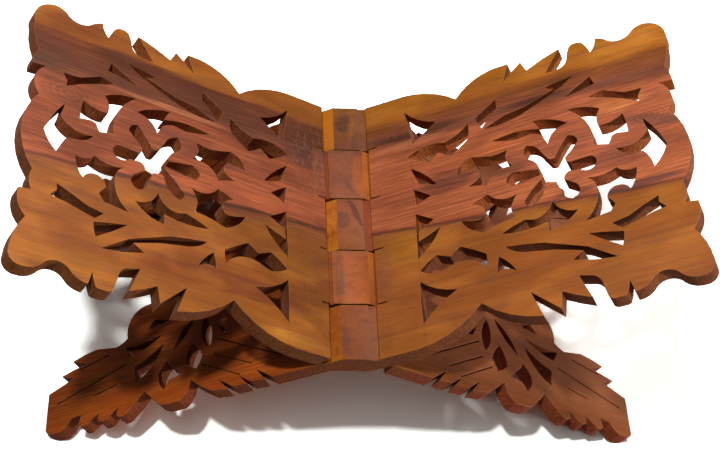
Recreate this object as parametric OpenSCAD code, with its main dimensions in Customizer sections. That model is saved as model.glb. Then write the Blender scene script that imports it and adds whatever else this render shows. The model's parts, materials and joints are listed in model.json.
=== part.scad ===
// Folding bookstand, sawn from one plank: two leaves that cross in a
// carved knuckle hinge with no pin. Each leaf is one piece of wood, a
// pierced book panel on one side and a pierced leg on the other.
// The stand is drawn open on its four feet: X runs across it, Y from the
// front edge to the back edge, Z up, with the origin on the table.

/* [Plank] */
// Thickness of the plank that both leaves are sawn from
plank_thickness = 16; // [14:0.5:20]
// Width of the plank, which is the length of the hinge
board_width = 152; // [132:2:172]
// Width of every saw cut: the one that splits the plank and those between knuckles
saw_kerf = 0.8; // [0.5:0.1:1.2]

/* [Leaves] */
// Length of a book panel, from the hinge axis to its outer edge
panel_length = 167; // [150:1:185]
// Length of a leg, from the hinge axis to its foot
leg_length = 158; // [145:1:170]
// Width of the flat planed under each foot
foot_flat = 5; // [3:0.5:7]

/* [Hinge] */
// Slope of the panels and legs above the table when the stand is open
open_angle = 27.5; // [24:0.5:34]
// Width of the knuckle at the front
front_knuckle = 30; // [24:0.5:34]
// Width of the three middle knuckles; the one at the back takes the rest
middle_knuckle = 31.3; // [28:0.1:33]
// Thickness of a knuckle where it crosses the axis
knuckle_depth = 10; // [9:0.2:11]
// Room between a knuckle and the end of the panel that swings past it
knuckle_gap = 1; // [0.6:0.1:1.6]
// Room left at the stops when the stand is open
stop_gap = 0.15; // [0.1:0.05:0.4]
// Width of the chiselled groove between a knuckle and the left panel
left_groove = 1.4; // [1:0.1:3]
// Width of the groove between a knuckle and the right panel
right_groove = 3.5; // [1:0.1:4.5]
// Depth of the grooves
groove_depth = 0.8; // [0.4:0.1:1.2]
// How deep the left leg is pared beside its knuckles
leg_paring = 1; // [0.2:0.1:1.4]
// How far the knuckle saw cuts run on into the left panel
left_overrun = 1; // [0.5:0.5:6]
// How far they run on into the right panel
right_overrun = 2; // [0.5:0.5:6]

/* [Carving] */
// Plain band of each board beside the hinge, before the carving starts
hinge_band = 24; // [22:1:30]
// Width of the veins cut into the leg leaves
vein_width = 0.9; // [0.6:0.1:1.4]
// Depth of the veins
vein_depth = 1.2; // [0.6:0.1:2]
// Largest turn between two flats of a sawn curve
curve_step = 10; // [6:1:20]

/* [Hidden] */
$fn = 48;

// Template of the carving: [along the board, along the hinge, bow].
// The bow of a point is how far the cut to the next point swells outwards,
// or inwards if it is negative. Paths run clockwise, with the front at -Y.
panel_edge = [
  // scallop and first thorns, front
  [24, -76, 4.7], [62, -60.5, 2.6], [89.5, -75.5, 0], [85, -61.5, 0], [97.5, -74, 0],
  [99, -65.5, 0.3], [112, -72.5, 0], [107.5, -59.5, 0], [114, -61.5, -0.9],
  // fingers and outer corner, front
  [117.5, -67.5, 0.2], [119.5, -75, 1.1], [127, -75.5, 0.2], [129, -68.5, 0],
  [130.5, -75, 1], [138.5, -71.5, -3.4], [151, -72, 1.1], [159.5, -76, 2.4],
  [166, -69, 1.3], [160.5, -51, 1.9], [165, -37, 0],
  // outer edge with the round eye in its middle
  [159.5, -36, 1.2], [160, -25, 6.7], [161, 18, 1.4], [163.5, 29, 0.6], [159, 35.5, 0],
  // outer corner and fingers, back
  [165.5, 35, 0.8], [163.5, 44, 1], [167, 61, 4], [158, 75, 1], [151, 71.5, -2.4],
  [139.5, 71.5, 0.5], [134, 75, -0.8], [130.5, 67, 0.4], [127.5, 74.5, 1.6],
  [120.5, 74.5, 0.3], [118.5, 67, -1], [113.5, 62.5, 0],
  // thorns and scallop, back
  [107, 62.5, 0], [115.5, 75.5, 0.5], [98, 68, 0], [95.5, 74.5, 0.3], [85.5, 65, 0],
  [89, 76, 4.2], [60.5, 63.5, 4.1], [26, 76, 0]];

front_cuts = [
  // sprig beside the hinge band
  [[34, -63.5, -1.3], [51.5, -49.5, -1.7], [34, -40, 0.3]],
  [[34.5, -34, 0.8], [43, -38, 0.2], [49.5, -35.5, -3.3], [66.5, -42, 0.3],
   [67, -34.5, 0.3], [55, -26.5, 0], [49.5, -30.5, 0], [43, -27.5, 0.4]],
  [[34, -27, 1.2], [46.5, -12, -0.2], [35, -17, 0], [35.5, -11, 0], [43.5, -6.5, 0],
   [34.5, -0.5, 0]],
  // wing of the inner flower
  [[56.5, -12, 1.5], [66.5, -22, 0.3], [71, -20.5, -0.3], [82.5, -18.5, -0.5],
   [81.5, -11.5, -0.3], [85, -5.5, -3], [71, -1, 0.2], [62.5, -4.5, -1],
   [68.5, -9, -1.5], [65, -14.5, -0.3]],
  // long leaves
  [[71, -46.5, -2.2], [80.5, -49.5, 1], [72.5, -38, 0.2]],
  [[76, -33.5, 1], [85.5, -39.5, -0.8], [111.5, -47, 0], [106, -50.5, 0.8],
   [126, -55, 0], [113.5, -45.5, 0], [94, -37, 0.2]],
  [[75, -26, 1.5], [97.5, -26, 0], [97.5, -31.5, 0.6], [106, -29, 0.3],
   [112, -24, -2.5], [101, -15, -1.8], [92, -23, -0.2], [87, -21.5, 0.4]],
  [[114.5, -38.5, 0.3], [129, -50, 0.3], [130.5, -42.5, 0.2]],
  [[126, -36.5, 0], [130, -40.5, 0], [136, -39, -0.3], [151, -35.5, 0],
   [148, -32, 0], [148.5, -28.5, 0.3], [134, -35, 0]],
  // leaf beside the outer flower
  [[114.5, -31.5, 0], [126.5, -30, 0], [129, -26.5, 0.3], [126, -22, -4.6],
   [137, -20.5, 0.2], [139, -18, 0.5], [141.5, -9.5, -1.7], [132.5, -6.5, -1.6],
   [118, -7.5, -0.8], [122, -13, -2.8]]];

middle_cuts = [
  // four petals round the heart of the panel
  [[106.5, -13, 0.8], [110.5, -17, 1], [114.5, -13, 0.6], [112.5, -8.5, 0],
   [108, -5, -0.9], [111, -1, 0], [116, -1.5, 2.5], [124, -0.5, 1.2], [121.5, 4.5, 0],
   [112, 4, -0.8], [110, 7.5, 0.3], [117, 15, 1.5], [112.5, 20, 0.3], [105, 9, -0.5],
   [102, 9.5, 0], [99, 15, 1.2], [92.5, 21, 1.9], [92.5, 12.5, -0.9], [97, 6.5, 0],
   [96.5, 5, 0.2], [84.5, 7.5, 0.8], [80.5, 3.5, 0.7], [83.5, -0.5, 0], [98, 1.5, 0],
   [98.5, 0, 0.6], [88, -11, 1], [91, -15, 1.8], [98.5, -5, 0], [100, -3.5, 0.3],
   [104, -5, 0]],
  // crescent in the eye of the outer edge
  [[149.5, -12, 0.9], [157, -1, 0.9], [148.5, 17.5, 0.2], [150, 10, -3],
   [134, 4.5, 0.8], [139.5, -0.5, 0], [146, -1.5, -0.8]]];

back_cuts = [
  [[36, 43, 0], [49, 53, -1.7], [33, 65, 0]],
  [[33, 35.5, 0.3], [43.5, 28.5, 0], [48.5, 33, 0], [55, 28.5, 0.3],
   [64, 35.5, 0.8], [65, 45.5, -1.3], [52, 38, 0.3], [44, 39.5, 0.8]],
  [[34, 28, 0.2], [37.5, 17.5, 0.8], [46.5, 14, 1]],
  [[35.5, 4.5, 0], [43, 8, 0.2], [34.5, 14.5, 0]],
  [[62, 7, -0.3], [71, 4, -3.2], [84.5, 11.5, -0.4], [81.5, 17.5, -0.2],
   [83, 22, -0.3], [75, 21, -0.2], [65, 24, 2.2], [57, 15.5, -0.3], [66.5, 16.5, -0.8],
   [68, 10.5, -0.5]],
  [[69, 47.5, 0.3], [72, 40, -0.3], [80.5, 50, 0], [80.5, 55.5, 0]],
  [[73, 39, 1.2], [92, 41, 0.3], [114, 51, 0], [122, 57.5, -0.6], [114, 55, 0.2],
   [105.5, 53.5, 0.3], [110, 51, 0], [95, 45.5, 0], [85, 44, 0.3]],
  [[76, 30, 0.4], [88.5, 26.5, 0], [95, 27.5, -0.3], [100.5, 25, 0],
   [103, 18.5, -2.6], [114, 27.5, 1.6], [97, 35, -0.3], [100, 29, 0.3], [88.5, 31.5, 0.2]],
  [[114, 43.5, 0.2], [129.5, 46.5, 0], [128, 52, 0]],
  [[126, 39.5, 0.3], [134, 36, -0.3], [149, 28, 0], [148.5, 31, 0], [151, 35.5, -0.3],
   [142.5, 36, 0], [133, 41, 0.5]],
  [[124.5, 10, 0], [131, 8, 0.2], [133, 12, -0.3], [136, 13, 0], [141, 12, 0.4],
   [140, 23.5, -1.2], [128, 20.5, -1.3], [130, 30.5, 1.4], [114.5, 35.5, -3.8]]];

// The leg is a leaf either side of an arch, and only its front half is listed
leg_edge = [
  [24, -76, 0.4], [37.5, -76, 0], [46, -69.5, 0], [41.5, -76, 0], [48.5, -75.5, 0],
  [55, -70.5, 0], [50.5, -76, 0], [58, -75.5, 0], [65.5, -69.5, 0], [60.5, -76, 0],
  [68.5, -75, 0.3], [80, -66, 1.4], [85.5, -76, 0.3], [92, -76, 1], [99, -71.5, 0.2],
  [104.5, -65.5, 0.3], [112.5, -74, 0.4], [116, -76, 0.6], [119, -74.5, 0.2],
  [118, -70.5, -0.2], [123, -74.5, 0.4], [126, -76, 0.6], [129, -74.5, 0.2],
  [128.5, -71, -0.2], [134, -74.5, 0.4], [136.5, -76, 0.6], [139.5, -74.5, 0.2],
  [138.5, -69.5, -0.4], [144.5, -70.5, 0.3], [148, -75, 0.5], [152, -76, 0.3],
  [156, -75.5, 0.7], [158, -72, 0], [158, -53, 0],
  [144.5, -47.5, 0], [151.5, -44.5, 0.3], [137.5, -41, 0], [146, -37.5, 0.4],
  [132.5, -34, 0], [121.5, -36, -0.5], [115.5, -32.5, 1.2], [113.5, -20.5, 2],
  [101, -16, -2.6], [82, -11, -1.6], [68, 0, 0]];

leg_cuts = [
  [[61, -44, 0], [63.5, -44, 0], [67, -37.5, 0]],
  [[70.5, -51, 3], [73, -32, 2.6]],
  [[77, -60.5, 0.5], [83, -56, 0.8], [79.5, -45, 0.5], [74, -54, 0.3]],
  [[90.5, -48, 2], [77.5, -29.5, 1.6]],
  [[93.5, -67.5, 1.6], [97, -57.5, 0.3], [93, -51.5, 0], [91.5, -54.5, 0.2],
   [85, -61, 0.2], [91, -62.5, -0.4]],
  [[109.5, -59.5, 0], [111, -50.5, -0.9], [95, -41, 2.4]],
  [[113, -44, 0.2], [116.5, -38, -1.2], [95.5, -35.5, 1.3]],
  [[104, -31, 0.3], [101, -26, 0.2], [92, -28.5, 0.3]]];

// Veins of the leg leaves, from one end of each to the other
leg_veins = [
  [[32, -66], [67, -46.5]], [[48, -66], [68, -55]], [[54, -70.5], [74, -59]],
  [[120, -57.5], [132, -60.5]], [[115, -47.5], [153, -60]], [[125, -39.5], [142, -43.5]]];

// How far the template reaches, which is what the real board's sizes stretch
template_panel = max([for (p = panel_edge) p[0]]);
template_leg = max([for (p = leg_edge) p[0]]);
template_half = max([for (p = panel_edge) p[1]]);

// Hinge section, with the stand closed: the plank is upright, the split
// is the plane X = 0 and the axis is the origin
half_plank = plank_thickness/2;
face = saw_kerf/2;
closing = 90 - open_angle;
neck = knuckle_depth/2;
neck_inner = (neck + face*sin(closing))/cos(closing);
neck_outer = (neck - half_plank*sin(closing))/cos(closing);
board_inner = neck_inner + knuckle_gap;
board_outer = (half_plank + stop_gap)/tan(open_angle);
bevel = (board_outer - board_inner)/(half_plank - face);
facet_end = face*cos(closing) + neck_inner*sin(closing);
paring_end = 0.85*board_outer;
knuckle_edges = [-board_width/2,
                 for (i = [0:3]) front_knuckle + i*middle_knuckle - board_width/2,
                 board_width/2];

// The corner of a foot that is planed away, and the height of the axis
foot_cut = foot_flat*sin(open_angle)*cos(open_angle);
axis_height = leg_length*sin(open_angle) - face*cos(open_angle) - foot_cut;
beyond = 2*panel_length;

// A sawn arc from p towards q, without q itself
function arc(p, q, bow) =
  abs(bow) < 0.05 ? [p] :
  let (d = q - p,
       chord = norm(d),
       radius = (chord*chord/4 + bow*bow)/(2*abs(bow)),
       half_turn = 2*atan(2*abs(bow)/chord),
       steps = max(2, ceil(2*half_turn/curve_step)),
       out = [d[1], -d[0]]/chord*sign(bow),
       centre = (p + q)/2 - out*(radius - abs(bow)))
  [for (i = [0:steps - 1])
    let (turn = -half_turn + 2*half_turn*i/steps)
    centre + out*radius*cos(turn) + d/chord*radius*sin(turn)];

// A template point on the real board: the band beside the hinge keeps its width
function placed(p, reach, template_reach) =
  [p[0] < hinge_band ? p[0]
     : hinge_band + (p[0] - hinge_band)*(reach - hinge_band)/(template_reach - hinge_band),
   p[1]*board_width/2/template_half];

// A closed path of arcs, as [along the hinge, along the board]
function traced(path, reach, template_reach, closed = true) =
  let (last = len(path) - 1)
  [for (i = [0:last])
    let (here = placed(path[i], reach, template_reach),
         next = placed(path[(i + 1) % len(path)], reach, template_reach))
    each [for (p = (closed || i < last) ? arc(here, next, path[i][2]) : [here])
      [p[1], p[0]]]];

// The other half of a path that is mirrored front to back
function mirrored(path) =
  [for (i = [len(path) - 1:-1:0])
    [path[i][0], -path[i][1], path[(i + len(path) - 1) % len(path)][2]]];

// The plan of a leaf seen flat, the panel upwards and the leg downwards
function panel_plan() =
  concat([[-board_width/2, 0]], traced(panel_edge, panel_length, template_panel, false),
         [[board_width/2, 0]]);
function leg_plan() =
  let (half = traced(leg_edge, leg_length, template_leg, false),
       whole = concat(half, [for (i = [len(half) - 2:-1:0]) [-half[i][0], half[i][1]]]))
  concat([[-board_width/2, 0]], whole, [[board_width/2, 0]]);
function down(points) = [for (p = points) [p[0], -p[1]]];

// Extrudes a plan of [Y, Z] points through the plank, from one X to another
module through(from_x, to_x)
  translate([from_x, 0, 0])
    rotate([90, 0, 90])
      linear_extrude(to_x - from_x) children();

// Extrudes a section of [X, Z] points along the hinge, from one Y to another
module along(from_y, to_y)
  translate([0, to_y, 0])
    rotate([90, 0, 0])
      linear_extrude(to_y - from_y) children();

// One leaf as it is split from the plank: panel, neck and leg
module blank()
  along(-board_width/2, board_width/2)
    polygon([[face, neck_inner], [face, beyond], [half_plank, beyond],
             [half_plank, -neck_outer], [-face, -neck_inner], [-face, -beyond],
             [-half_plank, -beyond], [-half_plank, neck_outer]]);

// The room that a knuckle of the other leaf needs, through the whole section:
// the panel ends in a bevel over it, and the leg is sawn off square below it
module knuckle_room(from_y, to_y) {
  far = half_plank + 1;
  near_end = board_inner - bevel*face;
  far_end = board_inner + bevel*(far - face);
  along(from_y, to_y)
    polygon([[far, far_end], [0, near_end], [-far, near_end],
             [-far, -board_outer], [far, -board_outer]]);
}

// A saw cut between two knuckles, run on slanting into the panel
module knuckle_cut(at_y, overrun)
  along(at_y - face, at_y + face)
    polygon([[0, 0], [0, board_outer + overrun],
             [half_plank + 1, board_outer + overrun - half_plank], [half_plank + 1, 0]]);

// The groove between a knuckle and its own panel, upright when the stand is open
module knuckle_groove(from_y, to_y, width)
  rotate([0, -closing, 0])
    along(from_y, to_y)
      polygon([[facet_end - width, neck - groove_depth], [facet_end, neck - groove_depth],
               [facet_end + groove_depth, neck + 1], [facet_end - width, neck + 1]]);

// The upper face of a leg is pared down beside a knuckle, where the other panel
// covers it, and the paring stops short of the place where that panel leans
module knuckle_paring(from_y, to_y, depth)
  along(from_y, to_y)
    polygon([[-half_plank - 1, 0], [depth - half_plank, 0],
             [depth - half_plank, -paring_end], [-half_plank - 1, -paring_end]]);

// The corner that is planed off under the foot
module foot_plane()
  rotate([0, -closing, 0])
    translate([-beyond/2, -board_width, -axis_height - beyond])
      cube([beyond, 2*board_width, beyond]);

module vein(p, q) {
  start = placed(p, leg_length, template_leg);
  end = placed(q, leg_length, template_leg);
  run = end - start;
  translate([-half_plank, start[1], -start[0]])
    rotate([-atan2(run[0], run[1]), 0, 0])
      translate([-1, 0, -vein_width/2])
        cube([vein_depth + 1, norm(run), vein_width]);
}

// One finished leaf, closed, with its panel on the side of +X. Its own
// knuckles are every other one, counted from the front.
module leaf(first_knuckle, overrun, groove, paring = 0) {
  last = len(knuckle_edges) - 1;
  difference() {
    intersection() {
      blank();
      union() {
        through(-half_plank - 1, half_plank + 1) polygon(panel_plan());
        through(-half_plank - 1, half_plank + 1) polygon(down(leg_plan()));
      }
    }
    for (i = [1 - first_knuckle:2:last - 1])
      knuckle_room(knuckle_edges[i] - face, knuckle_edges[i + 1] + face);
    for (i = [first_knuckle:2:last - 1]) {
      knuckle_groove(knuckle_edges[i] - face, knuckle_edges[i + 1] + face, groove);
      if (paring > 0)
        knuckle_paring(knuckle_edges[i] - face, knuckle_edges[i + 1] + face, paring);
    }
    for (i = [1:last - 1])
      knuckle_cut(knuckle_edges[i], overrun);
    for (cut = concat(front_cuts, middle_cuts, back_cuts))
      through(0, half_plank + 1) polygon(traced(cut, panel_length, template_panel));
    for (cut = leg_cuts, path = [cut, mirrored(cut)])
      through(-half_plank - 1, 0) polygon(down(traced(path, leg_length, template_leg)));
    for (line = leg_veins, side = [1, -1])
      vein([line[0][0], side*line[0][1]], [line[1][0], side*line[1][1]]);
    foot_plane();
  }
}

// Panel on the left, leg on the right, knuckles 2 and 4 from the front
module left_leaf()
  color("#9c5a2c")
    translate([0, 0, axis_height])
      mirror([1, 0, 0])
        rotate([0, closing, 0])
          leaf(1, left_overrun, left_groove);

// Panel on the right, leg on the left, knuckles 1, 3 and 5
module right_leaf()
  color("#a8622e")
    translate([0, 0, axis_height])
      rotate([0, closing, 0])
        leaf(0, right_overrun, right_groove, leg_paring);

left_leaf();
right_leaf();
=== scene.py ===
import json
import math
import bpy
from mathutils import Matrix, Vector

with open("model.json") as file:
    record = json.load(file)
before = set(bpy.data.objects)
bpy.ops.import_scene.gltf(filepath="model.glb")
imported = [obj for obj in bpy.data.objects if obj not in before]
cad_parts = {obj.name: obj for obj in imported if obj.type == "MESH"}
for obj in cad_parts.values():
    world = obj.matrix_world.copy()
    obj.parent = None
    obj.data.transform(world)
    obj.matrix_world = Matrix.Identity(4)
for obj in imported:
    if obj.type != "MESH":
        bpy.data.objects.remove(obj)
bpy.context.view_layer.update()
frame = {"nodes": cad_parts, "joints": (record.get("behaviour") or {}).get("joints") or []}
print("frame: loaded", ", ".join(sorted(frame["nodes"])))

# The hinge axis runs along Y at this height, and the stand lies open at rest
mmPerMetre = 1000
foldJoint = frame["joints"][0]
hingeHeight = foldJoint["pos_m"][2]*mmPerMetre
boardSlope = math.radians(90 - foldJoint["range_deg"][1]/2)

# Sheesham (Indian rosewood) split from one plank, so that both leaves carry the same bands:
# golden sapwood at both edges, salmon heartwood between, purple-black growth lines where they meet.
# Oiled and buffed, it has a satin gloss, and the sawn walls stay darker and drier.
# Bands go by the distance along the hinge in mm, from the front edge (-76) to the back (76).
# Patches are clouds, light streaks and gold: middle along and across the board, half length
# and half width in mm, tone, strength, and a turn in degrees where they have one.
leftLeaf = {
    "node": "left_leaf",
    "side": -1,                       # its panel lies towards -X
    "grainOffset": (0, 0, 0),         # mm, so that the two leaves have their own grain
    "lean": (0.087, 0.012),           # how far the bands run off square, front and back
    "knots": [(147, 24, 12, 8)],      # middle along and across, half length and half width in mm
    "scratches": 0.28,                # strength of the plane's cross scratches beside the hinge
    "legEdgeToneAndLight": "#743a22",             # the leg's edges and middle, its edge strip darker as painted shade and its middle lighter as painted light; how far they cover the bands, and how much gold shows in its fibres
    "legMiddleToneAndLight": "#8e5236",            # bands, and how much gold shows in its fibres
    "legAmount": 0.8,
    "legFibres": 0.2,
    "cheek": "#c0681a",               # fresh-sawn strips of the leg beside the knuckles
    "cheekStreak": "#74300c",
    "wallFront": "#5c2e1c",           # fretsawn walls, dark with old oil: the panel's front half, its back half painted lighter as painted light from behind, and the right leg, lighter as painted light
    "wallBackLit": "#8e4c28",            # half, its back half, and the leg
    "wallLegToneAndLight": "#8c3c24",
    "grooveWidth": 1.4,               # mm, of the groove between a knuckle and the panel
    "bands": [(-80, "#9c5a18"), (-66, "#945316"), (-50, "#884918"), (-32, "#8b4b1c"),
              (-14, "#8c4e1c"), (-5.5, "#824824"), (-3.6, "#4e2a20"), (-2, "#9c4f30"),
              (4, "#b05c38"), (14, "#a35534"), (24, "#9c5132"), (30, "#9a4f30"),
              (38, "#90482d"), (42, "#74402a"), (44.5, "#663622"), (60, "#6c361c"),
              (61.5, "#92501a"), (80, "#9a5414")],
    "patches": [(24, 38, 17, 8, "#653a2c", 0.8), (50, 35, 17, 7, "#704030", 0.75),
                (48, 21, 15, 6, "#84452c", 0.5), (76, 16, 18, 6, "#783c2a", 0.75),
                (108, 20, 24, 9, "#84452f", 0.7), (96, 37.5, 32, 1.8, "#b06a46", 0.7),
                (114, 3, 30, 12, "#844228", 0.7), (150, 2, 34, 20, "#763a22", 0.85),
                (150, 24, 14, 9, "#784028", 0.7), (110, 56.5, 40, 5.5, "#5a2a14", 0.9),
                (148, 66, 20, 11, "#804014", 0.7), (162, 38, 16, 8, "#5e3828", 0.8),
                (30, -71, 18, 3.5, "#b87828", 0.65), (17, -30, 4, 16, "#84481e", 0.45),
                (16, 34, 4, 14, "#96523c", 0.55), (130, -66, 36, 7, "#a2601c", 0.5),
                (74, -52, 46, 8, "#783a14", 0.9), (22, -62, 20, 12, "#84451a", 0.4),
                (30, -30, 14, 10, "#a0601e", 0.35)],
}
rightLeaf = {
    "node": "right_leaf",
    "side": 1,
    "grainOffset": (310, 40, 17),
    "lean": (0.117, 0.04),
    "knots": [(152, 18, 9, 5)],
    "scratches": 0.12,
    # the left leg's edge strips are painted lighter as painted light, its middle darker as painted
    # shade under the panel
    "legEdgeToneAndLight": "#9e4006",
    "legMiddleToneAndLight": "#823308",
    "legAmount": 0.9,
    "legFibres": 0.45,
    "cheek": "#c2701a",
    "cheekStreak": "#7c360c",
    # walls: the back half painted lighter as painted light from behind, the left leg's walls darker
    # as painted shade
    "wallFront": "#58291c",
    "wallBackLit": "#8c4618",
    "wallLegToneAndLight": "#52271c",
    "grooveWidth": 3.5,
    "bands": [(-80, "#a5611f"), (-66, "#9e5822"), (-50, "#945022"), (-32, "#965222"),
              (-14, "#98561d"), (-8.4, "#8a4c22"), (-6.6, "#552c22"), (-5.2, "#a05232"),
              (0, "#b8643c"), (14, "#a85836"), (20, "#ac5a36"),
              (34, "#ad5c36"), (45, "#a85a38"), (48, "#7e442c"), (51, "#704030"),
              (54, "#80442a"), (60.5, "#80461f"), (63, "#98551c"), (80, "#aa6718")],
    "patches": [(132, 12, 44, 26, "#94503a", 0.5), (24, 10, 14, 6, "#84452f", 0.25),
                (52, 13, 16, 7, "#6c3a2a", 0.85), (79, 12, 15, 6, "#70402e", 0.75),
                (131, -1, 16, 7, "#804530", 0.75), (151, 16, 20, 3.6, "#704434", 0.7, -22),
                (40, 50, 24, 3, "#5c3220", 0.8), (102, 48, 18, 2, "#563020", 0.8),
                (112, 57, 28, 4, "#7c421c", 0.8), (33, 44, 22, 2.4, "#bc6e4a", 0.8),
                (138, 30, 13, 6, "#bd6e3c", 0.7), (149, 67, 20, 9, "#bc742c", 0.6),
                (138, -60, 38, 14, "#a8642c", 0.5), (112, -14, 12, 1.8, "#643a2e", 0.7),
                (142, -19, 22, 2.4, "#683c32", 0.8), (26, -20, 13, 9, "#a4651c", 0.6),
                (17.5, -32, 4.5, 18, "#8a4e2e", 0.6), (16, -64, 4, 12, "#8c4c24", 0.5)],
}
woodLook = {
    "pore": "#34160a",
    "gold": "#b87626",
    "streak": "#522920",
    "groove": "#84340a",              # red-brown bottoms of the grooves beside the knuckles
    "cornerHighlight": "#c0803c",               # painted highlight along the corners
    "scratch": "#b98a6c",             # wood scuffed by the plane beside the hinge
    # The level faces cut through the middle of the plank, by the distance along the hinge;
    # the middles of the patches in them go across and along the hinge
    "knuckles": [(-80, "#8a4a2c"), (-48, "#8a4a2c"), (-44, "#a85012"), (-18, "#a44c12"),
                 (-14, "#945533"), (14, "#8a4e30"), (18, "#8c4a2c"), (44, "#8c4a2c"),
                 (48, "#7a4530"), (57, "#7e4a2a"), (66, "#88522a"), (80, "#90592a")],
    "knucklePatches": [(-1, 65, 5, 7, "#4e342c", 0.75), (4, 60, 3, 9, "#a06430", 0.6),
                       (6, 52, 4, 5, "#5e3a34", 0.7), (6, 32, 4, 13, "#b45c26", 0.8),
                       (1, 24, 7, 1.5, "#6e3c30", 0.7, -65), (-3.5, 4, 4, 6, "#5e4038", 0.7),
                       (3.5, 7.5, 12, 1.8, "#4e302c", 0.85, -70), (8, 62, 4.5, 17, "#7e4a2a", 1),
                       (9, -61, 4, 17, "#864822", 0.9), (-6, -30, 3, 16, "#744026", 0.7),
                       (-5, -63, 3.5, 7, "#5e3c34", 0.7)],
    "bandSpan": 80,                   # mm either side of the middle that the bands are given for
    "ringDrift": 6,                   # mm that the growth rings wander
    "leanPivot": 20,                  # mm from the hinge, where leaning bands lie as given
    "heartMiddle": 27,                # mm behind the middle of the stand
    "planedMiddle": 36,               # mm, middle of the heartwood that the plane scuffed
    "scribeLine": 34.3,               # mm from the hinge, where the carving starts
    "hingeReach": 17,                 # mm from the axis that the knuckles and cheeks reach
    "facetEnd": 10.47,                # mm from the axis, where the level facets and grooves end
    "levelFace": 0.97,                # least upward part of the normal of a level facet
    "knotRings": 22,                  # radians of ring pattern in half a knot
    "featherReach": 1.2,              # half widths that the grain pulls the edge of a patch
    "throughBoard": 1e6,              # mm: an oval is the same through the whole thickness
    "cheekScratches": 0.45,           # part of the scratches in the cheeks' streaks
    "cheekFall": 0.003,               # fewer of those streaks for each mm towards the back
    "cheekShare": 0.8,                # how far the tones of cheeks, knuckles and walls cover
    "knuckleShare": 0.85,             # the bands
    "wallShare": 0.7,
    "wallRoughness": 0.8,
    "hingeDryness": 0.85,             # of the knuckles and cheeks, where the walls are at 1
    "arrisRadius": 0.0004,            # m, eased by sanding
    "reliefDepth": 0.00015,           # m, for saw marks; pores and grain take less of it
    # Noises: sizes in mm along, across and through the board, detail, roughness, distortion.
    # The figure lies in the wood, and the tool marks were left on it. Grain lines and pores
    # are drawn coarser than the real 0.2 mm so that they show.
    "figure": {"drift": ((60, 20, 20), 3, 0.5, 0),
               "feather": ((25, 3, 3), 3, 0.5, 0),
               "streak": ((90, 2.5, 2.5), 4, 0.55, 0.3),
               "mottle": ((30, 14, 14), 2, 0.5, 0),
               "grain": ((22, 0.55, 0.55), 3, 0.6, 0),
               "pore": ((7, 0.6, 0.6), 1, 0.5, 0)},
    "toolMarks": {"scratch": ((0.8, 4, 0.8), 3, 0.5, 0),
                  "saw": ((0.8, 0.8, 2.5), 3, 0.65, 0)},
    # How each effect sets in: the two ends of a noise (0 to 1) or a place (mm) that it goes
    # by, and its strength at each; the piece gives a strength that isn't here
    "ramps": {"patchEdge": (0.5, 0, 0),                  # half widths past the feathered edge
              "lean": (-5, 55),                          # across
              "sapwood": (33, 38),                       # from the middle of the heartwood
              "streaks": (0.5, 0.78, 0, 0.42),           # growth lines, 2.5 mm wide
              "glow": (0.35, 0.7, 0.86, 1.18),           # mottle, as the fibres wave
              "gilding": (0.48, 0.68, 0, 0.22),          # mottle, in the sapwood
              "grain": (0.3, 0.7, 0.87, 1.1),
              "pores": (0.62, 0.76, 0, 0.26),
              "paleOutwards": (25, 150, 0.97, 1.28),          # along: paler towards the outer ends
              "knotDepth": (1.5, 0.6, 0, 0.11),          # half widths: rings fade outwards
              "fibres": (0.45, 0.72, -0.13, 0.42),       # light and dark, in the heartwood
              "planed": (33, 26),                        # along
              "planedHeart": (26, 14, 0.3, 1),           # from the planed middle
              "scratches": (0.5, 0.75, 0),
              "scribe": (0.2, 0.6, 0.12, 0),             # from the scribed line
              "legs": (-8, -30, 0),                      # along
              "legMiddleToneAndLight": (72, 61),                      # from the middle of the stand: the edge tone gives way to the middle tone, the two differing by painted light and shade
              "legFibres": (0.48, 0.72, 0),
              "cheekStreaks": (0.62, 0.96, 0, 0.9),
              "wallBackLit": (-25, 0),                      # across: where the walls turn to the back tone, painted lighter as light from behind
              "walls": (0.75, 0.35),                     # 1 on the faces of the board
              "sawShade": (0.3, 0.7, 0.55, 1.45),
              "corners": (0.985, 0.8, 0, 0.6),           # cosine of how far easing turns them: strength of the painted highlight
              "gloss": (0.3, 0.7, 0.36, 0.48),           # roughness, by the streaks
              "specular": (0, 1, 0.42, 0.12)},           # from the faces to the dry walls
}
rampSockets = ("From Min", "From Max", "To Min", "To Max")
ramps = {name: dict(zip(rampSockets, ends)) for name, ends in woodLook["ramps"].items()}


def linearColour(hexCode):
    parts = [int(hexCode[i:i + 2], 16)/255 for i in (1, 3, 5)]
    return [c/12.92 if c <= 0.04045 else ((c + 0.055)/1.055)**2.4 for c in parts] + [1]


# Adds a node; links maps its sockets to a value or to another node's output, and bands
# are the colours of a ramp by their place in mm
def addNode(tree, kind, links=None, bands=None, **settings):
    node = tree.nodes.new(kind)
    for name, value in settings.items():
        setattr(node, name, value)
    for socket, value in (links or {}).items():
        if isinstance(value, bpy.types.NodeSocket):
            tree.links.new(value, node.inputs[socket])
        else:
            node.inputs[socket].default_value = value
    if bands:
        points = node.color_ramp.elements
        while len(points) < len(bands):
            points.new(0.5)
        span = woodLook["bandSpan"]
        for point, (mm, hexCode) in zip(points, bands):
            point.position = (mm + span)/(2*span)
            point.color = linearColour(hexCode)
    return node


# How far a value lies from a middle, either way
def addDistance(tree, value, middle=0):
    offset = addNode(tree, "ShaderNodeMath", {0: value, 1: middle}, operation="SUBTRACT")
    return addNode(tree, "ShaderNodeMath", {0: offset.outputs[0]}, operation="ABSOLUTE").outputs[0]


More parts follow.
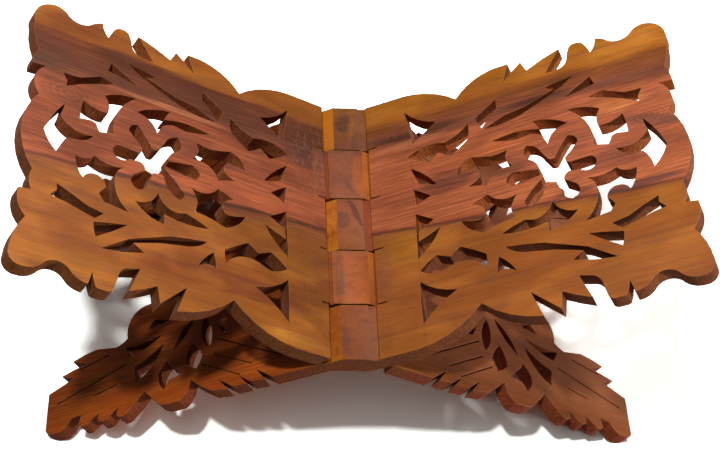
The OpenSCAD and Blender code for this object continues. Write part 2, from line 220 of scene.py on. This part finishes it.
# How far a point lies from the middle of an oval, in half widths
def addOval(tree, place, middleX, middleY, halfX, halfY, turn=0):
    scaled = addNode(tree, "ShaderNodeMapping", {
        "Vector": place, "Location": (middleX, middleY, 0),
        "Scale": (halfX, halfY, woodLook["throughBoard"]),
        "Rotation": (0, 0, math.radians(turn))}, vector_type="TEXTURE")
    return addNode(tree, "ShaderNodeVectorMath", {
        0: scaled.outputs[0]}, operation="LENGTH").outputs["Value"]


# Mixes one soft oval patch into a colour, with an edge feathered along the grain
def addPatch(tree, field, place, colour, patch):
    middleX, middleY, halfX, halfY, tone, strength, *turn = patch
    feathered = addNode(tree, "ShaderNodeMath", {
        0: field["featherNoise"], 1: -woodLook["featherReach"],
        2: addOval(tree, place, middleX, middleY, halfX, halfY, *turn)}, operation="MULTIPLY_ADD")
    inside = addNode(tree, "ShaderNodeMapRange", {
        "Value": feathered.outputs[0], **ramps["patchEdge"], "To Max": strength})
    return addNode(tree, "ShaderNodeMix", {
        "Factor": inside.outputs[0], 6: colour, 7: linearColour(tone)},
        data_type="RGBA").outputs[2]


# Finds where a point lies and how its face looks, and lays the noises over the board
def measureBoard(tree, leaf):
    place = addNode(tree, "ShaderNodeTexCoord")
    # In mm: along the board from the hinge (legs negative), along the hinge, and through
    # the thickness
    board = addNode(tree, "ShaderNodeMapping", {
        "Vector": place.outputs["Object"],
        "Scale": (mmPerMetre*leaf["side"], mmPerMetre, mmPerMetre),
        "Rotation": (0, boardSlope, 0),
        "Location": (-hingeHeight*math.sin(boardSlope), 0, -hingeHeight*math.cos(boardSlope)),
    }).outputs[0]
    facing = addNode(tree, "ShaderNodeMapping", {
        "Vector": place.outputs["Normal"], "Scale": (leaf["side"], 1, 1),
        "Rotation": (0, boardSlope, 0)}, vector_type="VECTOR")
    boardParts = addNode(tree, "ShaderNodeSeparateXYZ", {0: board})
    facingParts = addNode(tree, "ShaderNodeSeparateXYZ", {0: facing.outputs[0]})
    normalParts = addNode(tree, "ShaderNodeSeparateXYZ", {0: place.outputs["Normal"]})
    standPlace = addNode(tree, "ShaderNodeVectorMath", {
        0: place.outputs["Object"], "Scale": mmPerMetre}, operation="SCALE").outputs[0]
    grainPlace = addNode(tree, "ShaderNodeVectorMath", {
        0: board, 1: leaf["grainOffset"]}, operation="ADD").outputs[0]
    field = {"board": board, "along": boardParts.outputs[0], "across": boardParts.outputs[1],
             "stand": standPlace, "outward": facingParts.outputs[2],
             "upward": normalParts.outputs[2]}
    for source, noises in ((grainPlace, "figure"), (board, "toolMarks")):
        for name, (sizes, detail, roughness, distortion) in woodLook[noises].items():
            scaled = addNode(tree, "ShaderNodeVectorMath", {
                0: source, 1: [1/mm for mm in sizes]}, operation="MULTIPLY")
            field[name + "Noise"] = addNode(tree, "ShaderNodeTexNoise", {
                "Vector": scaled.outputs[0], "Scale": 1, "Detail": detail,
                "Roughness": roughness, "Distortion": distortion}).outputs["Fac"]
    return field


# Bands of the growth rings, which lean and drift, with clouds and patches in them
def addRings(tree, leaf, field):
    field["drift"] = addNode(tree, "ShaderNodeMath", {
        0: field["driftNoise"], 1: woodLook["ringDrift"], 2: -woodLook["ringDrift"]/2},
        operation="MULTIPLY_ADD").outputs[0]
    leanHere = addNode(tree, "ShaderNodeMapRange", {
        "Value": field["across"], **ramps["lean"],
        "To Min": leaf["lean"][0], "To Max": leaf["lean"][1]}).outputs[0]
    fromPivot = addNode(tree, "ShaderNodeMath", {
        0: field["along"], 1: woodLook["leanPivot"]}, operation="SUBTRACT").outputs[0]
    leaning = addNode(tree, "ShaderNodeMath", {
        0: fromPivot, 1: leanHere, 2: field["across"]}, operation="MULTIPLY_ADD").outputs[0]
    ringPlace = addNode(tree, "ShaderNodeMath", {
        0: leaning, 1: field["drift"]}, operation="ADD").outputs[0]
    field["sapwood"] = addNode(tree, "ShaderNodeMapRange", {
        "Value": addDistance(tree, ringPlace, woodLook["heartMiddle"]),
        **ramps["sapwood"]}).outputs[0]
    span = woodLook["bandSpan"]
    colour = addNode(tree, "ShaderNodeValToRGB", {
        "Fac": addNode(tree, "ShaderNodeMapRange", {
            "Value": ringPlace, "From Min": -span, "From Max": span}).outputs[0]},
        bands=leaf["bands"]).outputs["Color"]
    for patch in leaf["patches"]:
        colour = addPatch(tree, field, field["board"], colour, patch)
    return colour


# Streaks in the purple-brown of the growth lines, mottle that glows golden, fine grain,
# knots, fibres and pores
def addGrain(tree, leaf, field, colour):
    field["streaks"] = addNode(tree, "ShaderNodeMapRange", {
        "Value": field["streakNoise"], **ramps["streaks"]}).outputs[0]
    streaked = addNode(tree, "ShaderNodeMix", {
        "Factor": field["streaks"], 6: colour, 7: linearColour(woodLook["streak"])},
        data_type="RGBA").outputs[2]
    gilding = addNode(tree, "ShaderNodeMapRange", {
        "Value": field["mottleNoise"], **ramps["gilding"]}).outputs[0]
    gilded = addNode(tree, "ShaderNodeMix", {
        "Factor": addNode(tree, "ShaderNodeMath", {
            0: gilding, 1: field["sapwood"]}, operation="MULTIPLY").outputs[0],
        6: streaked, 7: linearColour(woodLook["gold"])}, data_type="RGBA").outputs[2]

    glow = addNode(tree, "ShaderNodeMapRange", {
        "Value": field["mottleNoise"], **ramps["glow"]}).outputs[0]
    field["grain"] = addNode(tree, "ShaderNodeMapRange", {
        "Value": field["grainNoise"], **ramps["grain"]}).outputs[0]
    paleOutwards = addNode(tree, "ShaderNodeMapRange", {
        "Value": field["along"], **ramps["paleOutwards"]}).outputs[0]
    glowing = addNode(tree, "ShaderNodeMath", {
        0: glow, 1: field["grain"]}, operation="MULTIPLY").outputs[0]
    shade = addNode(tree, "ShaderNodeMath", {
        0: glowing, 1: paleOutwards}, operation="MULTIPLY").outputs[0]
    for knot in leaf["knots"]:
        away = addOval(tree, field["board"], *knot)
        phase = addNode(tree, "ShaderNodeMath", {
            0: away, 1: woodLook["knotRings"], 2: field["drift"]}, operation="MULTIPLY_ADD")
        rings = addNode(tree, "ShaderNodeMath", {0: phase.outputs[0]}, operation="SINE")
        depth = addNode(tree, "ShaderNodeMapRange", {"Value": away, **ramps["knotDepth"]})
        ringShade = addNode(tree, "ShaderNodeMath", {
            0: rings.outputs[0], 1: depth.outputs[0], 2: 1}, operation="MULTIPLY_ADD")
        shade = addNode(tree, "ShaderNodeMath", {
            0: shade, 1: ringShade.outputs[0]}, operation="MULTIPLY").outputs[0]
    field["shade"] = shade

    fibres = addNode(tree, "ShaderNodeMapRange", {
        "Value": field["grainNoise"], **ramps["fibres"]}).outputs[0]
    heartwood = addNode(tree, "ShaderNodeMath", {
        0: 1, 1: field["sapwood"]}, operation="SUBTRACT").outputs[0]
    fibreShade = addNode(tree, "ShaderNodeMath", {
        0: fibres, 1: heartwood, 2: 1}, operation="MULTIPLY_ADD").outputs[0]
    grained = addNode(tree, "ShaderNodeVectorMath", {
        0: gilded, "Scale": addNode(tree, "ShaderNodeMath", {
            0: shade, 1: fibreShade}, operation="MULTIPLY").outputs[0]},
        operation="SCALE").outputs[0]
    field["pores"] = addNode(tree, "ShaderNodeMapRange", {
        "Value": field["poreNoise"], **ramps["pores"]}).outputs[0]
    return addNode(tree, "ShaderNodeMix", {
        "Factor": field["pores"], 6: grained, 7: linearColour(woodLook["pore"])},
        data_type="RGBA").outputs[2]


# The plain band beside the hinge was planed across the grain, and the scribed line where
# the carving starts still shows
def addPlaneMarks(tree, leaf, field, colour):
    planed = addNode(tree, "ShaderNodeMapRange", {
        "Value": field["along"], **ramps["planed"]}).outputs[0]
    planedHeart = addNode(tree, "ShaderNodeMapRange", {
        "Value": addDistance(tree, field["across"], woodLook["planedMiddle"]),
        **ramps["planedHeart"]}).outputs[0]
    scratches = addNode(tree, "ShaderNodeMapRange", {
        "Value": field["scratchNoise"], **ramps["scratches"],
        "To Max": leaf["scratches"]}).outputs[0]
    planedPlace = addNode(tree, "ShaderNodeMath", {
        0: planed, 1: planedHeart}, operation="MULTIPLY").outputs[0]
    scratched = addNode(tree, "ShaderNodeMix", {
        "Factor": addNode(tree, "ShaderNodeMath", {
            0: planedPlace, 1: scratches}, operation="MULTIPLY").outputs[0],
        6: colour, 7: linearColour(woodLook["scratch"])}, data_type="RGBA").outputs[2]
    scribe = addNode(tree, "ShaderNodeMapRange", {
        "Value": addDistance(tree, field["along"], woodLook["scribeLine"]),
        **ramps["scribe"]}).outputs[0]
    return addNode(tree, "ShaderNodeMix", {
        "Factor": scribe, 6: scratched, 7: linearColour(woodLook["pore"])},
        data_type="RGBA").outputs[2]


# The leg half of each leaf has red-brown tones of its own, with gold in the fibres. Its edges and
# middle
# differ by painted light and shade: the left leg's edges lighter and middle darker, the right leg's
# the other way round
def addLegWood(tree, leaf, field, colour):
    field["legs"] = addNode(tree, "ShaderNodeMapRange", {
        "Value": field["along"], **ramps["legs"], "To Max": leaf["legAmount"]}).outputs[0]
    towardLegMiddle = addNode(tree, "ShaderNodeMapRange", {
        "Value": addDistance(tree, field["across"]), **ramps["legMiddleToneAndLight"]}).outputs[0]
    legToneAndLight = addNode(tree, "ShaderNodeMix", {
        "Factor": towardLegMiddle, 6: linearColour(leaf["legEdgeToneAndLight"]), 7: linearColour(leaf["legMiddleToneAndLight"])},
        data_type="RGBA").outputs[2]
    fibres = addNode(tree, "ShaderNodeMapRange", {
        "Value": field["grainNoise"], **ramps["legFibres"],
        "To Max": leaf["legFibres"]}).outputs[0]
    fibred = addNode(tree, "ShaderNodeMix", {
        "Factor": fibres, 6: legToneAndLight, 7: linearColour(woodLook["gold"])},
        data_type="RGBA").outputs[2]
    shaded = addNode(tree, "ShaderNodeVectorMath", {
        0: fibred, "Scale": field["shade"]}, operation="SCALE").outputs[0]
    return addNode(tree, "ShaderNodeMix", {
        "Factor": field["legs"], 6: colour, 7: shaded}, data_type="RGBA").outputs[2]


# Marks the level faces of the knuckles, the cheeks of the leg beside them, and the sawn walls
def markFaces(tree, field):
    level = addNode(tree, "ShaderNodeMath", {
        0: addDistance(tree, field["upward"]), 1: woodLook["levelFace"]},
        operation="GREATER_THAN").outputs[0]
    nearHinge = addNode(tree, "ShaderNodeMath", {
        0: addDistance(tree, field["along"]), 1: woodLook["hingeReach"]},
        operation="LESS_THAN").outputs[0]
    onLeg = addNode(tree, "ShaderNodeMath", {
        0: field["along"], 1: 0}, operation="LESS_THAN").outputs[0]
    field["knuckles"] = addNode(tree, "ShaderNodeMath", {
        0: level, 1: nearHinge}, operation="MULTIPLY").outputs[0]
    legNearHinge = addNode(tree, "ShaderNodeMath", {
        0: onLeg, 1: nearHinge}, operation="MULTIPLY").outputs[0]
    field["cheeks"] = addNode(tree, "ShaderNodeMath", {
        0: legNearHinge, 1: field["knuckles"]}, operation="SUBTRACT", use_clamp=True).outputs[0]
    offFace = addNode(tree, "ShaderNodeMapRange", {
        "Value": addDistance(tree, field["outward"]), **ramps["walls"]}).outputs[0]
    field["walls"] = addNode(tree, "ShaderNodeMath", {
        0: offFace, 1: field["knuckles"]}, operation="SUBTRACT", use_clamp=True).outputs[0]


# Cheeks: fresh-sawn golden wood, streaked and scratched most at the front
def addCheeks(tree, leaf, field, colour):
    scratchy = addNode(tree, "ShaderNodeMath", {
        0: field["scratchNoise"], 1: woodLook["cheekScratches"], 2: field["mottleNoise"]},
        operation="MULTIPLY_ADD").outputs[0]
    falling = addNode(tree, "ShaderNodeMath", {
        0: field["across"], 1: -woodLook["cheekFall"], 2: scratchy},
        operation="MULTIPLY_ADD").outputs[0]
    cheekStreaks = addNode(tree, "ShaderNodeMapRange", {
        "Value": falling, **ramps["cheekStreaks"]}).outputs[0]
    cheekTone = addNode(tree, "ShaderNodeMix", {
        "Factor": cheekStreaks, 6: linearColour(leaf["cheek"]),
        7: linearColour(leaf["cheekStreak"])}, data_type="RGBA").outputs[2]
    cheekColour = addNode(tree, "ShaderNodeVectorMath", {
        0: cheekTone, "Scale": field["shade"]}, operation="SCALE").outputs[0]
    cheekFactor = addNode(tree, "ShaderNodeMath", {
        0: field["cheeks"], 1: woodLook["cheekShare"]}, operation="MULTIPLY").outputs[0]
    return addNode(tree, "ShaderNodeMix", {
        "Factor": cheekFactor, 6: colour, 7: cheekColour}, data_type="RGBA").outputs[2]


# Knuckles: the middle of the plank, cut level, with red-brown grooves beside them
def addKnuckles(tree, leaf, field, colour):
    span = woodLook["bandSpan"]
    core = addNode(tree, "ShaderNodeValToRGB", {
        "Fac": addNode(tree, "ShaderNodeMapRange", {
            "Value": field["across"], "From Min": -span, "From Max": span}).outputs[0]},
        bands=woodLook["knuckles"]).outputs["Color"]
    fromAxis = addNode(tree, "ShaderNodeMath", {
        0: addNode(tree, "ShaderNodeSeparateXYZ", {0: field["stand"]}).outputs[0],
        1: leaf["side"]}, operation="MULTIPLY").outputs[0]
    inGroove = addNode(tree, "ShaderNodeMath", {
        0: fromAxis, 1: woodLook["facetEnd"] - leaf["grooveWidth"]},
        operation="GREATER_THAN").outputs[0]
    core = addNode(tree, "ShaderNodeMix", {
        "Factor": inGroove, 6: core, 7: linearColour(woodLook["groove"])},
        data_type="RGBA").outputs[2]
    for patch in woodLook["knucklePatches"]:
        core = addPatch(tree, field, field["stand"], core, patch)
    streaked = addNode(tree, "ShaderNodeMix", {
        "Factor": field["streaks"], 6: core, 7: linearColour(woodLook["streak"])},
        data_type="RGBA").outputs[2]
    knuckleColour = addNode(tree, "ShaderNodeVectorMath", {
        0: streaked, "Scale": field["shade"]}, operation="SCALE").outputs[0]
    knuckleFactor = addNode(tree, "ShaderNodeMath", {
        0: field["knuckles"], 1: woodLook["knuckleShare"]}, operation="MULTIPLY").outputs[0]
    return addNode(tree, "ShaderNodeMix", {
        "Factor": knuckleFactor, 6: colour, 7: knuckleColour}, data_type="RGBA").outputs[2]


# Fretsawn walls: saw marks 0.8 mm apart run through the thickness. The back half of each panel's
# walls is painted lighter as painted light from behind, the right leg's walls lighter as painted
# light, and the left leg's darker as painted shade
def addSawnWalls(tree, leaf, field, colour):
    field["sawShade"] = addNode(tree, "ShaderNodeMapRange", {
        "Value": field["sawNoise"], **ramps["sawShade"]}).outputs[0]
    panelWallToneAndLight = addNode(tree, "ShaderNodeMix", {
        "Factor": addNode(tree, "ShaderNodeMapRange", {
            "Value": field["across"], **ramps["wallBackLit"]}).outputs[0],
        6: linearColour(leaf["wallFront"]), 7: linearColour(leaf["wallBackLit"])},
        data_type="RGBA").outputs[2]
    wallToneAndLight = addNode(tree, "ShaderNodeMix", {
        "Factor": field["legs"], 6: panelWallToneAndLight, 7: linearColour(leaf["wallLegToneAndLight"])},
        data_type="RGBA").outputs[2]
    # the wall tone, dark with oil, carries the painted light of the back half and the painted light
    # and shade of each leg
    oiled = addNode(tree, "ShaderNodeMix", {
        "Factor": woodLook["wallShare"], 6: colour, 7: wallToneAndLight}, data_type="RGBA").outputs[2]
    pored = addNode(tree, "ShaderNodeMix", {
        "Factor": field["pores"], 6: oiled, 7: linearColour(woodLook["pore"])},
        data_type="RGBA").outputs[2]
    sawn = addNode(tree, "ShaderNodeVectorMath", {
        0: pored, "Scale": field["sawShade"]}, operation="SCALE").outputs[0]
    return addNode(tree, "ShaderNodeMix", {
        "Factor": field["walls"], 6: colour, 7: sawn}, data_type="RGBA").outputs[2]


def makeOiledSheesham(leaf):
    wood = bpy.data.materials.new(leaf["node"].split("_")[0] + "OiledSheesham")
    wood.use_nodes = True
    tree = wood.node_tree
    tree.nodes.clear()
    field = measureBoard(tree, leaf)
    markFaces(tree, field)
    colour = addRings(tree, leaf, field)
    for addLayer in (addGrain, addPlaneMarks, addLegWood, addCheeks, addKnuckles, addSawnWalls):
        colour = addLayer(tree, leaf, field, colour)

    # Corners eased by sanding, with a painted highlight along them
    eased = addNode(tree, "ShaderNodeBevel", {"Radius": woodLook["arrisRadius"]}, samples=6)
    geometry = addNode(tree, "ShaderNodeNewGeometry")
    unturned = addNode(tree, "ShaderNodeVectorMath", {
        0: eased.outputs[0], 1: geometry.outputs["Normal"]}, operation="DOT_PRODUCT")
    corners = addNode(tree, "ShaderNodeMapRange", {
        "Value": unturned.outputs["Value"], **ramps["corners"]}).outputs[0]
    highlighted = addNode(tree, "ShaderNodeMix", {
        "Factor": corners, 6: colour, 7: linearColour(woodLook["cornerHighlight"])},
        data_type="RGBA").outputs[2]

    # Pores and grain are a few hundredths of a mm deep, saw marks nearly a tenth
    faceHeight = addNode(tree, "ShaderNodeMath", {
        0: field["grain"], 1: field["pores"]}, operation="SUBTRACT").outputs[0]
    height = addNode(tree, "ShaderNodeMix", {
        "Factor": field["walls"], 2: faceHeight, 3: field["sawShade"]},
        data_type="FLOAT").outputs[0]
    relief = addNode(tree, "ShaderNodeBump", {
        "Strength": 0.5, "Distance": woodLook["reliefDepth"], "Height": height,
        "Normal": eased.outputs[0]}).outputs[0]

    # Satin oil on the faces; the knuckles and cheeks, and above all the walls, are drier
    gloss = addNode(tree, "ShaderNodeMapRange", {
        "Value": field["streakNoise"], **ramps["gloss"]}).outputs[0]
    roughness = addNode(tree, "ShaderNodeMix", {
        "Factor": field["walls"], 2: gloss, 3: woodLook["wallRoughness"]},
        data_type="FLOAT").outputs[0]
    hingeFaces = addNode(tree, "ShaderNodeMath", {
        0: field["knuckles"], 1: field["cheeks"]}, operation="ADD").outputs[0]
    dryness = addNode(tree, "ShaderNodeMath", {
        0: hingeFaces, 1: woodLook["hingeDryness"], 2: field["walls"]},
        operation="MULTIPLY_ADD").outputs[0]
    specular = addNode(tree, "ShaderNodeMapRange", {
        "Value": dryness, **ramps["specular"]}).outputs[0]
    shader = addNode(tree, "ShaderNodeBsdfPrincipled", {
        "Base Color": highlighted, "Roughness": roughness, "Normal": relief,
        "IOR": 1.45, "Specular IOR Level": specular, "Coat Weight": 0.04, "Coat Roughness": 0.3})
    addNode(tree, "ShaderNodeOutputMaterial", {"Surface": shader.outputs[0]})
    return wood


# Curved saw cuts are shaded smooth where their flats turn less than maxTurn, once corners
# that lie closer than weld (m) are one
def makeSmoothing(maxTurn=math.radians(28), weld=0.000002):
    group = bpy.data.node_groups.new("smoothSawnCurves", "GeometryNodeTree")
    group.interface.new_socket("Geometry", in_out="INPUT", socket_type="NodeSocketGeometry")
    group.interface.new_socket("Geometry", in_out="OUTPUT", socket_type="NodeSocketGeometry")
    source = addNode(group, "NodeGroupInput")
    joined = addNode(group, "GeometryNodeMergeByDistance", {
        "Geometry": source.outputs[0], "Distance": weld})
    plain = addNode(group, "GeometryNodeRemoveAttribute", {
        "Geometry": joined.outputs[0], "Name": "custom_normal"})
    smooth = addNode(group, "GeometryNodeSetShadeSmooth", {
        "Geometry": plain.outputs[0], "Shade Smooth": True})
    turn = addNode(group, "GeometryNodeInputMeshEdgeAngle")
    crisp = addNode(group, "FunctionNodeCompare", {
        0: turn.outputs["Unsigned Angle"], 1: maxTurn}, data_type="FLOAT", operation="GREATER_THAN")
    edges = addNode(group, "GeometryNodeSetShadeSmooth", {
        "Geometry": smooth.outputs[0], "Selection": crisp.outputs[0], "Shade Smooth": False},
        domain="EDGE")
    addNode(group, "NodeGroupOutput", {0: edges.outputs[0]})
    return group


smoothing = makeSmoothing()
for leaf in (leftLeaf, rightLeaf):
    board = frame["nodes"][leaf["node"]]
    board.material_slots[0].material = makeOiledSheesham(leaf)
    board.modifiers.new("smoothSawnCurves", "NODES").node_group = smoothing
    print("wood:", leaf["node"], "is oiled sheesham")

# A lamp high on the left front with the pale ceiling round it, one high on the right
# behind the stand, and a low one on the right: place, size in m, power in W
studio = {
    "floorSize": 6,                   # m
    "floorSeen": (1.9, 1.94, 1.87),   # the photograph's floor is exposed to pure white
    "floorWhite": "#b0aeaa",
    "lamps": {"frontLamp": ((-0.45, -0.34, 2.3), 0.16, 30),
              "ceiling": ((-0.3, -0.7, 2.2), 1.4, 5.5),
              "backLamp": ((0.7, 1.0, 2.3), 0.4, 30),
              "sideLamp": ((1.4, -0.6, 0.06), 0.1, 15)},
    "lampAim": (0, 0, 0.07),          # the hinge
    "ambient": 0.01,
}


# Matt white paper, which keeps the stand's shadow; gloss on the wood mirrors it as plain white
def makeWhiteFloor():
    paper = bpy.data.materials.new("whitePaper")
    paper.use_nodes = True
    tree = paper.node_tree
    tree.nodes.clear()
    path = addNode(tree, "ShaderNodeLightPath")
    inGloss = addNode(tree, "ShaderNodeMath", {
        0: path.outputs["Is Glossy Ray"], 1: path.outputs["Is Transmission Ray"]},
        operation="MAXIMUM").outputs[0]
    mirrored = addNode(tree, "ShaderNodeMix", {
        "Factor": inGloss, 6: linearColour(studio["floorWhite"]), 7: (1, 1, 1, 1)},
        data_type="RGBA").outputs[2]
    seen = addNode(tree, "ShaderNodeMix", {
        "Factor": path.outputs["Is Camera Ray"], 6: mirrored,
        7: [*studio["floorSeen"], 1]}, data_type="RGBA").outputs[2]
    matte = addNode(tree, "ShaderNodeBsdfDiffuse", {"Color": seen})
    addNode(tree, "ShaderNodeOutputMaterial", {"Surface": matte.outputs[0]})
    half = studio["floorSize"]/2
    sheet = bpy.data.meshes.new("floor")
    sheet.from_pydata([(-half, -half, 0), (half, -half, 0), (half, half, 0), (-half, half, 0)],
                      [], [(0, 1, 2, 3)])
    sheet.materials.append(paper)
    floor = bpy.data.objects.new("floor", sheet)
    bpy.context.scene.collection.objects.link(floor)


makeWhiteFloor()
for name, (place, size, watts) in studio["lamps"].items():
    lamp = bpy.data.lights.new(name, "AREA")
    lamp.shape = "DISK"
    lamp.size = size
    lamp.energy = watts
    holder = bpy.data.objects.new(name, lamp)
    holder.location = place
    beam = Vector(place) - Vector(studio["lampAim"])
    holder.rotation_euler = beam.to_track_quat("Z", "Y").to_euler()
    bpy.context.scene.collection.objects.link(holder)
world = bpy.data.worlds.new("paleRoom")
world.use_nodes = True
world.node_tree.nodes["Background"].inputs["Color"].default_value = (1, 1, 1, 1)
world.node_tree.nodes["Background"].inputs["Strength"].default_value = studio["ambient"]
bpy.context.scene.world = world
bpy.context.scene.view_settings.view_transform = "Standard"
print("studio: floor and lamps placed")

# The camera that took the photograph: above the front edge, a little to the left
photoView = {
    "place": (-0.06093, -0.43274, 0.63631),                          # m
    "yaw": 8.665, "pitch": 51.97, "roll": 7.867,                     # degrees
    "lens": 73.75, "sensor": 36,                                     # mm
    "nearest": 0.01,                                                 # m
}
yaw, pitch, roll = (math.radians(photoView[k]) for k in ("yaw", "pitch", "roll"))
forward = Vector((math.sin(yaw)*math.cos(pitch), math.cos(yaw)*math.cos(pitch), -math.sin(pitch)))
levelRight = Vector((math.cos(yaw), -math.sin(yaw), 0))
levelUp = levelRight.cross(forward)
right = math.cos(roll)*levelRight + math.sin(roll)*levelUp
up = math.cos(roll)*levelUp - math.sin(roll)*levelRight
turned = Matrix((right, up, -forward)).transposed().to_4x4()
cameraData = bpy.data.cameras.new("photoCamera")
cameraData.lens = photoView["lens"]
cameraData.sensor_width = photoView["sensor"]
cameraData.clip_start = photoView["nearest"]
camera = bpy.data.objects.new("photoCamera", cameraData)
bpy.context.scene.collection.objects.link(camera)
camera.matrix_world = Matrix.Translation(photoView["place"]) @ turned
bpy.context.scene.camera = camera
print("camera: set to the photograph's view")
